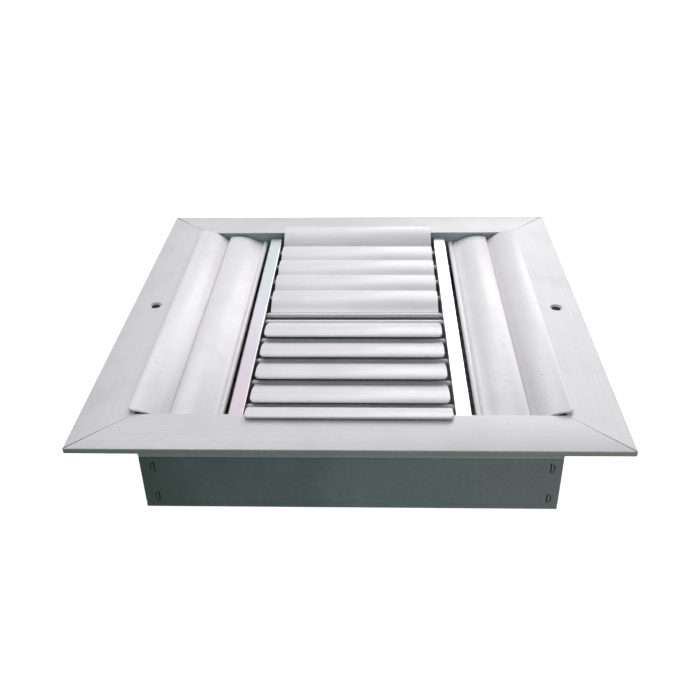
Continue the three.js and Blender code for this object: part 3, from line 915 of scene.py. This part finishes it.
def blade_outline(name, reach):
    """The blade's outline, its bead at the origin and its root level along X."""
    sheet_top = SHEET - BEAD_RADIUS
    outer = CURVE_RADIUS + SHEET / 2
    centre_z = sheet_top - outer
    root = math.radians(ROOT_ANGLE)
    centre_x = ROOT_LENGTH * math.cos(root) - centre_z * math.sin(root)
    sweep = ROOT_ANGLE + math.degrees(math.asin((reach - centre_x) / outer))
    tip = math.radians(90 - sweep)
    rise = math.asin(BEAD_RADIUS / math.hypot(WEDGE_LENGTH, sheet_top))
    rise += math.atan2(sheet_top, WEDGE_LENGTH)
    shoulder_z = sheet_top + (WEDGE_LENGTH - SHOULDER) * math.tan(rise)
    meet = math.sqrt(BEAD_RADIUS**2 - CREASE_FLOOR**2)
    bead_start = math.degrees(math.atan2(CREASE_FLOOR, meet))
    piece = start_outline(name, 0, -BEAD_RADIUS)
    line(ROOT_LENGTH, 0)
    arc(ROOT_LENGTH, centre_z, sweep, ARC_STEPS)
    line(SHEET * math.cos(tip), SHEET * math.sin(tip))
    arc(ROOT_LENGTH, centre_z, -sweep, ARC_STEPS)
    line(WEDGE_LENGTH - ROOT_LENGTH, 0)
    line(SHOULDER - WEDGE_LENGTH, shoulder_z - sheet_top)
    line(-CREASE_LEAN, CREASE_FLOOR - shoulder_z)
    line(meet + CREASE_LEAN - SHOULDER, 0)
    arc(0, 0, bead_start - 270, 2 * ARC_STEPS)
    fill_outline()
    tip_x = ROOT_LENGTH + (outer - SHEET) * math.cos(tip) - 0.05
    round_points(0.2, 2, lambda at, n: at.x > tip_x)
    return piece


# %% Blade body
def blade_body(name, length, reach):
    blade = pull(blade_outline(name, reach), length)
    cut(blade, bar_along("Y", BORE_RADIUS, -length, length, 0, 0, sides=24))
    blade.rotation_euler = (0, -math.radians(ROOT_ANGLE), 0)
    settle(blade)
    root = BEAD_RADIUS + 0.05
    plan = slab((root, -length / 2, -reach), (reach, length / 2, reach))
    edit(plan)
    for edge, radius in ((reach, BLADE_CORNER), (root, ROOT_CORNER)):
        pick("edges", lambda at, n: abs(at.x - edge) < 0.01 and abs(at.y) > length / 2 - 0.01)
        bpy.ops.mesh.bevel(offset=radius * MM, segments=10, affect="EDGES")
    bpy.ops.object.mode_set(mode="OBJECT")
    bead = slab((-reach, -length / 2, -reach), (root + 0.1, length / 2, reach))
    cut(plan, bead, "UNION")
    cut(blade, plan, "INTERSECT")
    apply_modifier(
        blade, "BEVEL", width=0.12 * MM, segments=2, limit_method="ANGLE", angle_limit=0.9
    )
    return smooth(blade)


CENTRE_BUSH_ROOM = 2.3
SIDE_BUSH_ROOM = 1.2
CENTRE_REACH = 27.15
SIDE_REACH = 27.6
BLADE_END = BAR_MIDDLE - BAR_HALF - CENTRE_BUSH_ROOM
SIDE_BLADE_END = NECK_INSIDE - SIDE_BUSH_ROOM
centre_blade = blade_body("centre_blade_master", 2 * BLADE_END, CENTRE_REACH)
side_blade = blade_body("side_blade_master", 2 * SIDE_BLADE_END, SIDE_REACH)
for blade in (centre_blade, side_blade):
    print(blade.name, len(blade.data.polygons), "faces")

# %% [markdown]
# ## Rods and bushes
#
# A thin steel rod goes through each bead, and a stepped nylon bush sits on it
# at each end, to keep the blade off the bar and to give it a little friction.
# The bush starts as a cylinder. Its end face is inset and extruded, which
# makes the collar and the narrower hub.

# %% Bushes
BUSH_RADIUS = 2.05
HUB_RADIUS = 1.55


def bush(low, high):
    """A stepped bush along +Y, its wide collar against the blade."""
    collar = low + 0.55 * (high - low)
    piece = bar_along("Y", BUSH_RADIUS, low, collar, 0, 0)
    edit(piece)
    pick("faces", lambda at, n: n.y > 0.9)
    bpy.ops.mesh.inset(thickness=(BUSH_RADIUS - HUB_RADIUS) * MM, depth=0)
    bpy.ops.mesh.extrude_region_move(
        TRANSFORM_OT_translate={"value": (0, (high - collar) * MM, 0)}
    )
    bpy.ops.object.mode_set(mode="OBJECT")
    apply_modifier(
        piece, "BEVEL", width=0.15 * MM, segments=2, limit_method="ANGLE", angle_limit=0.6
    )
    return piece


def bush_pair(name, end, room):
    right = bush(end + 0.05, end + room - 0.15)
    left = copy_of(right, name + "_far", heading=180)
    return smooth(join([right, left], name))


centre_bushes = bush_pair("centre_bushes_master", BLADE_END, CENTRE_BUSH_ROOM)
side_bushes = bush_pair("side_bushes_master", SIDE_BLADE_END, SIDE_BUSH_ROOM)


# %% Rods
ROD_RADIUS = 1.0
ROD_PAST_WALL = 2.4


def rod_body(name, half):
    """A steel rod with its two ends chamfered by the cropping tool."""
    piece = bar_along("Y", ROD_RADIUS, -half, half, 0, 0, sides=24)
    piece.name = piece.data.name = name
    edit(piece)
    pick("faces", lambda at, n: abs(n.y) > 0.9)
    bpy.ops.mesh.bevel(offset=0.2 * MM, segments=2, affect="EDGES")
    bpy.ops.object.mode_set(mode="OBJECT")
    return smooth(piece)


CENTRE_ROD_END = BAR_MIDDLE - BAR_HALF + BAR_WALL + ROD_PAST_WALL
centre_rod = rod_body("centre_rod_master", CENTRE_ROD_END)
side_rod = rod_body("side_rod_master", NECK_HALF - 0.3)

# %% [markdown]
# ## Placing the blades
#
# Each blade has its own pivot and its own body in the CAD frame, so a copy is
# tilted, turned to face its side and moved to that pivot. The outermost blade
# of each bank is tilted up, and stands over the flange.

# %% Place blades, rods and bushes
EDGE_TILT = 12.5
BACK_TILT = -2.5
centre_blade.data.materials.append(blade_x)
side_blade.data.materials.append(blade_y)
for part in (centre_bushes, side_bushes):
    part.data.materials.append(nylon)
for part in (centre_rod, side_rod):
    part.data.materials.append(zinc)


def place_louvre(name, side, tilt, parts):
    body = "louvre_" + name
    blade, bushes, rod = parts
    at = PIVOTS[body] / MM
    heading = HEADINGS[side]
    made = copy_of(blade, "curved_blade_" + name, heading, tilt, at)
    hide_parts("blade_" + name)
    pin = copy_of(rod, "pivot_rod_" + name, heading, tilt, at)
    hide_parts("rod_" + name)
    ends = copy_of(bushes, "pivot_bushes_" + name, heading, tilt, at)
    for piece in (made, pin, ends):
        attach(piece, body)


for side in ("front", "back"):
    for number in range(1, 6):
        inner = BACK_TILT if side == "back" else 0.0
        tilt = EDGE_TILT if number == 5 else inner
        parts = (centre_blade, centre_bushes, centre_rod)
        place_louvre(f"{side}_{number}", side, tilt, parts)
for side in ("left", "right"):
    for row, tilt in (("inner", 0.0), ("outer", EDGE_TILT)):
        place_louvre(f"{side}_{row}", side, tilt, (side_blade, side_bushes, side_rod))
for master in (centre_blade, side_blade, centre_bushes, side_bushes, centre_rod, side_rod):
    remove(master)

# %% [markdown]
# ## The divider bars
#
# A divider bar is a channel, open below, that carries the rods of the centre
# blades. It is drawn and pulled like the rails, with ribs inside that the end
# screws bite into. Its top edges are rounded in the outline and its ends are
# rounded in plan, where they were tumbled before anodising.

# %% Bar section
BAR_DEPTH = 18
BAR_CORNER = 1.6
PORT_RIB = 1.3
BAR_TOP = FACE_TOP - BAR_DROP
BAR_BOTTOM = BAR_TOP - BAR_DEPTH
BAR_END = NECK_INSIDE - 0.3


def bar_outline():
    inner = BAR_HALF - BAR_WALL
    port = BAR_SCREW_HOLE_RADIUS
    rib = PORT_RIB
    half = [
        (port, BAR_SCREW_Z + rib),
        (inner, BAR_SCREW_Z + rib),
        (inner, BAR_TOP - BAR_WALL),
    ]
    lower = [
        (BAR_HALF, BAR_TOP),
        (BAR_HALF, BAR_BOTTOM),
        (inner, BAR_BOTTOM),
        (inner, BAR_SCREW_Z - rib),
        (port, BAR_SCREW_Z - rib),
    ]
    right = lower + half
    left = [(-x, z) for x, z in reversed(right)]
    piece = trace("bar_master", right + left)
    round_points(0.7, 5, lambda at, n: at.z > BAR_TOP - 0.01)
    round_points(0.25, 2, lambda at, n: at.z < BAR_BOTTOM + 0.01)
    return piece


bar_master = pull(bar_outline(), 2 * BAR_END)
plan = slab((-BAR_HALF, -BAR_END, BAR_BOTTOM - 1), (BAR_HALF, BAR_END, BAR_TOP + 1))
edit(plan)
pick("edges", lambda at, n: abs(at.z - (BAR_TOP + BAR_BOTTOM) / 2) < 0.01 and abs(at.y) > 1)
bpy.ops.mesh.bevel(offset=BAR_CORNER * MM, segments=8, affect="EDGES")
bpy.ops.object.mode_set(mode="OBJECT")
cut(bar_master, plan, "INTERSECT")
for number in range(1, 6):
    y = abs(PIVOTS[f"louvre_front_{number}"].y) / MM
    for hand in (-1, 1):
        hole = bar_along("X", ROD_HOLE_RADIUS, -BAR_HALF - 1, -BAR_HALF + 2, hand * y, PIVOT_Z)
        cut(bar_master, hole)
smooth(bar_master)
print("bar:", len(bar_master.data.polygons), "faces")

# %% Place the bars
for side, metal in (("left", bar_left_painted_reflection), ("right", bar_right_painted_highlight)):
    reach = BAR_MIDDLE if side == "right" else -BAR_MIDDLE
    bar = copy_of(bar_master, "bright_bar_" + side, HEADINGS[side], 0, (reach, 0, 0))
    # Each bar's colour paints its reflection or highlight.
    bar.data.materials.append(metal)
    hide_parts("divider_bar_" + side)
    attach(bar, "register_frame")
remove(bar_master)

# %% [markdown]
# ## The damper frame
#
# Under the neck hangs a second frame of its own section, a shallow channel
# with a groove along its outside. Its corners are staked: a press strikes a
# half-round slit into each end, and a narrow tongue of metal is left in it.

# %% Damper rail section
DAMPER_TOP = FACE_TOP - NECK_DEPTH - 0.3
DAMPER_WALL = 1.2
DAMPER_FLANGE = 6.0
DAMPER_INSIDE = NECK_HALF - DAMPER_WALL
OUTER_GROOVE = 0.4
BAND = 3.0

damper_points = [
    (DAMPER_INSIDE - DAMPER_FLANGE, DAMPER_TOP),
    (DAMPER_INSIDE - DAMPER_FLANGE, DAMPER_TOP - DAMPER_WALL),
    (DAMPER_INSIDE, DAMPER_TOP - DAMPER_WALL),
    (DAMPER_INSIDE, DAMPER_WALL),
    (DAMPER_INSIDE - DAMPER_FLANGE, DAMPER_WALL),
    (DAMPER_INSIDE - DAMPER_FLANGE, 0),
    (NECK_HALF, 0),
    (NECK_HALF, BAND),
    (NECK_HALF - OUTER_GROOVE, BAND + OUTER_GROOVE),
    (NECK_HALF - OUTER_GROOVE, BAND + 2 * OUTER_GROOVE),
    (NECK_HALF, BAND + 3 * OUTER_GROOVE),
    (NECK_HALF, DAMPER_TOP),
]
damper_master = trace("damper_rail_master", damper_points)
round_points(0.35, 3, lambda at, n: at.x > NECK_HALF - 0.01 and (at.z < 0.01 or at.z > 38))
damper_master = pull(damper_master, 2 * NECK_HALF + 2)
mitre(damper_master)
print("damper rail:", len(damper_master.data.polygons), "faces")

# %% Stakes
STAKE_INSETS = (6.0, 4.5)
STAKE_LEVELS = (DAMPER_TOP - 6.6, 8.4)
STAKE_WIDTH = 3.4
STAKE_LENGTH = 7.6
DENT_DEPTH = 0.5
SLIT_WIDTH = 2.6
SLIT_LENGTH = 6.4
TONGUE_WIDTH = 1.3
TONGUE_LENGTH = 6.0


def half_moon(name, width, length, low, high, hand, at):
    """A half-round plate on the outside of a damper rail."""
    deselect()
    bpy.ops.mesh.primitive_cylinder_add(vertices=28, radius=MM, depth=(high - low) * MM)
    plate = bpy.context.active_object
    plate.name = name
    edit(plate)
    bpy.ops.mesh.bisect(plane_co=(0, 0, 0), plane_no=(-hand, 0, 0), use_fill=True, clear_outer=True)
    bpy.ops.mesh.select_all(action="SELECT")
    bpy.ops.transform.resize(value=(width, length / 2, 1))
    bpy.ops.object.mode_set(mode="OBJECT")
    plate.rotation_euler = (math.pi / 2, 0, math.pi / 2)
    plate.location = Vector(((low + high) / 2, at[0], at[1])) * MM
    return settle(plate)


def stake_places():
    for z in STAKE_LEVELS:
        for inset, hand in zip(STAKE_INSETS, (-1, 1)):
            yield hand, (hand * (NECK_HALF - inset - STAKE_WIDTH / 2), z)


for hand, at in stake_places():
    outside = NECK_HALF + 0.5
    low = NECK_HALF - DENT_DEPTH
    dent = half_moon("dent", STAKE_WIDTH, STAKE_LENGTH, low, outside, hand, at)
    cut(damper_master, dent)
    low = DAMPER_INSIDE - 1
    slit = half_moon("slit", SLIT_WIDTH, SLIT_LENGTH, low, outside, hand, at)
    cut(damper_master, slit)
    low, high = DAMPER_INSIDE, NECK_HALF - 0.05
    tongue = half_moon("tongue", TONGUE_WIDTH, TONGUE_LENGTH, low, high, hand, at)
    cut(damper_master, tongue, "UNION")
smooth(damper_master)

# %% [markdown]
# The left and right rails carry the pins of the damper's vanes, so each has a
# row of round holes, and the right one a slot in its upper flange for the
# finger lever. The link bar runs just inside the right rail.

# %% Place the damper rails
VANE_PIVOTS = [PIVOTS[f"damper_vane_{number}"] / MM for number in range(1, 9)]
CRANK_RADIUS = 8.0
CRANK_TURN = 42.5
CRANK_Y = CRANK_RADIUS * math.sin(math.radians(CRANK_TURN))
LINK_OUT = DAMPER_INSIDE - 1.2
LINK_IN = LINK_OUT - 1.0
LEVER_WIDTH = 10.0
PIN_HOLE_RADIUS = 1.9


def open_for_vanes(rail):
    low, high = DAMPER_INSIDE - 1, NECK_HALF + 1
    for pivot in VANE_PIVOTS:
        cut(rail, bar_along("X", PIN_HOLE_RADIUS, low, high, pivot.y, pivot.z))


def open_for_lever(rail):
    half = CRANK_Y + LEVER_WIDTH / 2 + 1
    low = (LINK_IN - 1, -half, DAMPER_TOP - DAMPER_WALL - 1)
    cut(rail, slab(low, (DAMPER_INSIDE, half, DAMPER_TOP + 1)))


for side in HEADINGS:
    raw = copy_of(damper_master, "raw_" + side)
    if side in ("left", "right"):
        open_for_vanes(raw)
    if side == "right":
        open_for_lever(raw)
    rail = copy_of(smooth(raw), "damper_side_" + side, HEADINGS[side])
    remove(raw)
    # Grey coat, darkened to paint shade.
    rail.data.materials.append(damper_coat_and_shade)
    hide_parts("damper_rail_" + side)
    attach(rail, "register_frame")
remove(damper_master)

# %% [markdown]
# ## The damper's vanes
#
# A vane is a steel sheet with rounded hems on a tube, with a pin at each end
# and a crank at the right. The cranks stand up and down by turns, so that one
# stroke of the link bar turns neighbours opposite ways. The sheet's long edges
# are bevelled round, and the parts are then joined by union, as if welded.

# %% Vanes
CRANK_OUT = LINK_IN - 0.4
VANE_END = CRANK_OUT - 1.0
VANE_HALF = (2 * DAMPER_INSIDE / 8 - 0.65) / 2
VANE_SHEET = 0.9
TUBE_RADIUS = 2.6
VANE_PIN_RADIUS = 1.5
CRANK_PIN_RADIUS = 1.2


def vane_master(name, turn):
    """One vane, its axis at the origin and its crank turned from straight up."""
    thick = VANE_SHEET / 2
    vane = slab((-VANE_END, -VANE_HALF, -thick), (VANE_END, VANE_HALF, thick))
    vane.name = vane.data.name = name
    edit(vane)
    pick("edges", lambda at, n: abs(at.y) > VANE_HALF - 0.01 and abs(at.x) < 1)
    bpy.ops.mesh.bevel(offset=0.4 * MM, segments=4, affect="EDGES")
    bpy.ops.object.mode_set(mode="OBJECT")
    angle = math.radians(turn)
    y, z = CRANK_RADIUS * math.sin(angle), CRANK_RADIUS * math.cos(angle)
    arm = slab((CRANK_OUT - 1.3, -TUBE_RADIUS, 0), (CRANK_OUT, TUBE_RADIUS, CRANK_RADIUS))
    arm.rotation_euler = (-angle, 0, 0)
    settle(arm)
    members = (
        bar_along("X", TUBE_RADIUS, -VANE_END, CRANK_OUT, 0, 0),
        bar_along("X", VANE_PIN_RADIUS, 0.3 - NECK_HALF, NECK_HALF - 0.3, 0, 0, sides=24),
        arm,
        bar_along("X", TUBE_RADIUS, VANE_END, CRANK_OUT, y, z),
        bar_along("X", CRANK_PIN_RADIUS, CRANK_OUT - 0.3, LINK_OUT + 0.4, y, z, sides=24),
    )
    for member in members:
        cut(vane, member, "UNION")
    return smooth(vane)


vanes = [vane_master("vane_up", CRANK_TURN), vane_master("vane_down", 180 - CRANK_TURN)]
for number, at in enumerate(VANE_PIVOTS, 1):
    vane = copy_of(vanes[(number - 1) % 2], f"damper_vane_{number}", at=at)
    # Grey coat, darkened to paint shade.
    vane.data.materials.append(damper_coat_and_shade)
    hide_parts(f"damper_blade_{number}")
    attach(vane, f"damper_vane_{number}")
for vane in vanes:
    remove(vane)

# %% [markdown]
# ## Screws that hold the bars
#
# Pan-head screws go through the neck into the ribs of the bars. The head is a
# cylinder with its outer edge bevelled round, and two crossed slabs cut the
# recess for the driver.

# %% Bar screws
HEAD_RADIUS = 3.2
HEAD_HEIGHT = 2.0
HEAD_CROWN = 0.95
RECESS_HALF = 1.7
RECESS_SLOT = 0.35
RECESS_FLOOR = 0.7
SHANK_RADIUS = 1.45
SHANK_LENGTH = 9.5
SHANK_POINT = 0.7


def screw_master():
    """A pan-head screw along X, the underside of its head at the origin."""
    screw = bar_along("X", HEAD_RADIUS, 0, HEAD_HEIGHT, 0, 0, sides=48)
    edit(screw)
    pick("edges", lambda at, n: at.x > HEAD_HEIGHT - 0.01)
    bpy.ops.mesh.bevel(offset=HEAD_CROWN * MM, segments=6, affect="EDGES")
    bpy.ops.object.mode_set(mode="OBJECT")
    for wide, high in ((RECESS_HALF, RECESS_SLOT), (RECESS_SLOT, RECESS_HALF)):
        cut(screw, slab((RECESS_FLOOR, -wide, -high), (HEAD_HEIGHT + 1, wide, high)))
    shank = bar_along("X", SHANK_RADIUS, -SHANK_LENGTH, 0.2, 0, 0, sides=24)
    edit(shank)
    pick("edges", lambda at, n: at.x < 0.01 - SHANK_LENGTH)
    bpy.ops.mesh.bevel(offset=SHANK_POINT * MM, segments=1, affect="EDGES")
    bpy.ops.object.mode_set(mode="OBJECT")
    cut(screw, shank, "UNION")
    return smooth(screw)


screw = screw_master()
screw.data.materials.append(zinc)
for name in [n for n in frame["nodes"] if n.startswith("bar_screw")]:
    low, high = (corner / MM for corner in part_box(name))
    side = "front" if low.y < 0 else "back"
    seat = NECK_HALF + 0.3
    at = ((low.x + high.x) / 2, -seat if side == "front" else seat, BAR_SCREW_Z)
    made = copy_of(screw, name.replace("bar_screw", "pan_head_screw"), HEADINGS[side], 0, at)
    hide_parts(name)
    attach(made, "register_frame")
remove(screw)

# %% [markdown]
# ## The CAD nodes that stay
#
# The keys inside the corners, the clips and the link bar already have the
# right shape. They stay as they are, get their finish, and a live bevel breaks
# their edges as a tumbler would.

# %% Finish the CAD nodes that stay
KEPT = ("corner_key", "damper_clip", "damper_link")
for name, node in frame["nodes"].items():
    if name.startswith(KEPT):
        node.data.materials.clear()
        node.data.materials.append(zinc)
        edge = node.modifiers.new("broken_edge", "BEVEL")
        edge.width = 0.2 * MM
        edge.segments = 2
        edge.angle_limit = math.radians(40)

# %% [markdown]
# ## Floor, lights and camera
#
# A plain pale floor and large soft lights. The floor is hidden from bounced
# light, so the front of the neck stays in shade, as under a ceiling of soft
# boxes. The strongest light stands behind the grille at its right, and its
# reflection makes the flange and the bars shine towards the viewer; the bars'
# colours also paint part of that shine.

# %% Floor
deselect()
bpy.ops.mesh.primitive_grid_add(x_subdivisions=8, y_subdivisions=8, size=12)
floor = bpy.context.active_object
floor.name = "floor"
material, tree, shader, place = new_material("pale_studio_floor")
set_inputs(
    tree,
    shader,
    Base_Color=hex_colour("#F6F6F6"),
    Roughness=0.9,
    Emission_Color=hex_colour("#FFFFFF"),
    Emission_Strength=0.9,
)
floor.data.materials.append(material)
floor.visible_diffuse = False
floor.visible_glossy = False


# %% Lights
def soft_box(name, place, size, watts, colour):
    light = bpy.data.lights.new(name, "AREA")
    light.shape = "RECTANGLE"
    light.size, light.size_y = size
    light.energy = watts
    light.color = hex_colour(colour)[:3]
    lamp = bpy.data.objects.new(name, light)
    bpy.context.scene.collection.objects.link(lamp)
    lamp.location = place
    aim = Vector((0, 0, 0.06)) - Vector(place)
    lamp.rotation_euler = aim.to_track_quat("-Z", "Y").to_euler()
    return lamp


soft_box("soft_box_back_left", (-0.55, 1.3, 0.95), (1.1, 1.1), 2.2, "#FFFDFF")
soft_box("soft_box_back_right", (0.55, 1.3, 0.95), (1.1, 1.1), 15.0, "#FFFEFC")
soft_box("soft_box_top", (-0.45, 0.15, 1.7), (1.1, 1.1), 7.2, "#FFFDFE")
soft_box("soft_box_high_back", (-0.35, 1.1, 1.65), (0.9, 0.9), 9.0, "#FFFDFE")
soft_box("soft_box_front", (0.1, -0.7, 1.5), (1.0, 0.6), 1.4, "#FFFDFE")
soft_box("fill_low", (0.7, -1.4, 0.12), (1.2, 0.3), 4.6, "#E4F2F4")

world = bpy.data.worlds.new("studio_air")
bpy.context.scene.world = world
world.use_nodes = True
air = world.node_tree.nodes["Background"]
air.inputs["Color"].default_value = hex_colour("#596466")
air.inputs["Strength"].default_value = 1.1

# %% Camera
scene = bpy.context.scene
camera_data = bpy.data.cameras.new("camera")
camera_data.lens = 43.1985
camera_data.sensor_width = 36.0
camera_data.clip_start = 0.01
camera = bpy.data.objects.new("camera", camera_data)
scene.collection.objects.link(camera)
right = Vector((0.99947742, 0.02809461, -0.01598717))
down = Vector((0.00164619, -0.53817507, -0.84283147))
ahead = Vector((-0.03228292, 0.8423647, -0.53794007))
turn = Matrix((right, -down, -ahead)).transposed().to_4x4()
camera.matrix_world = Matrix.Translation(Vector((15.844, -497.499, 351.673)) * MM) @ turn
scene.camera = camera
scene.view_settings.view_transform = "Standard"
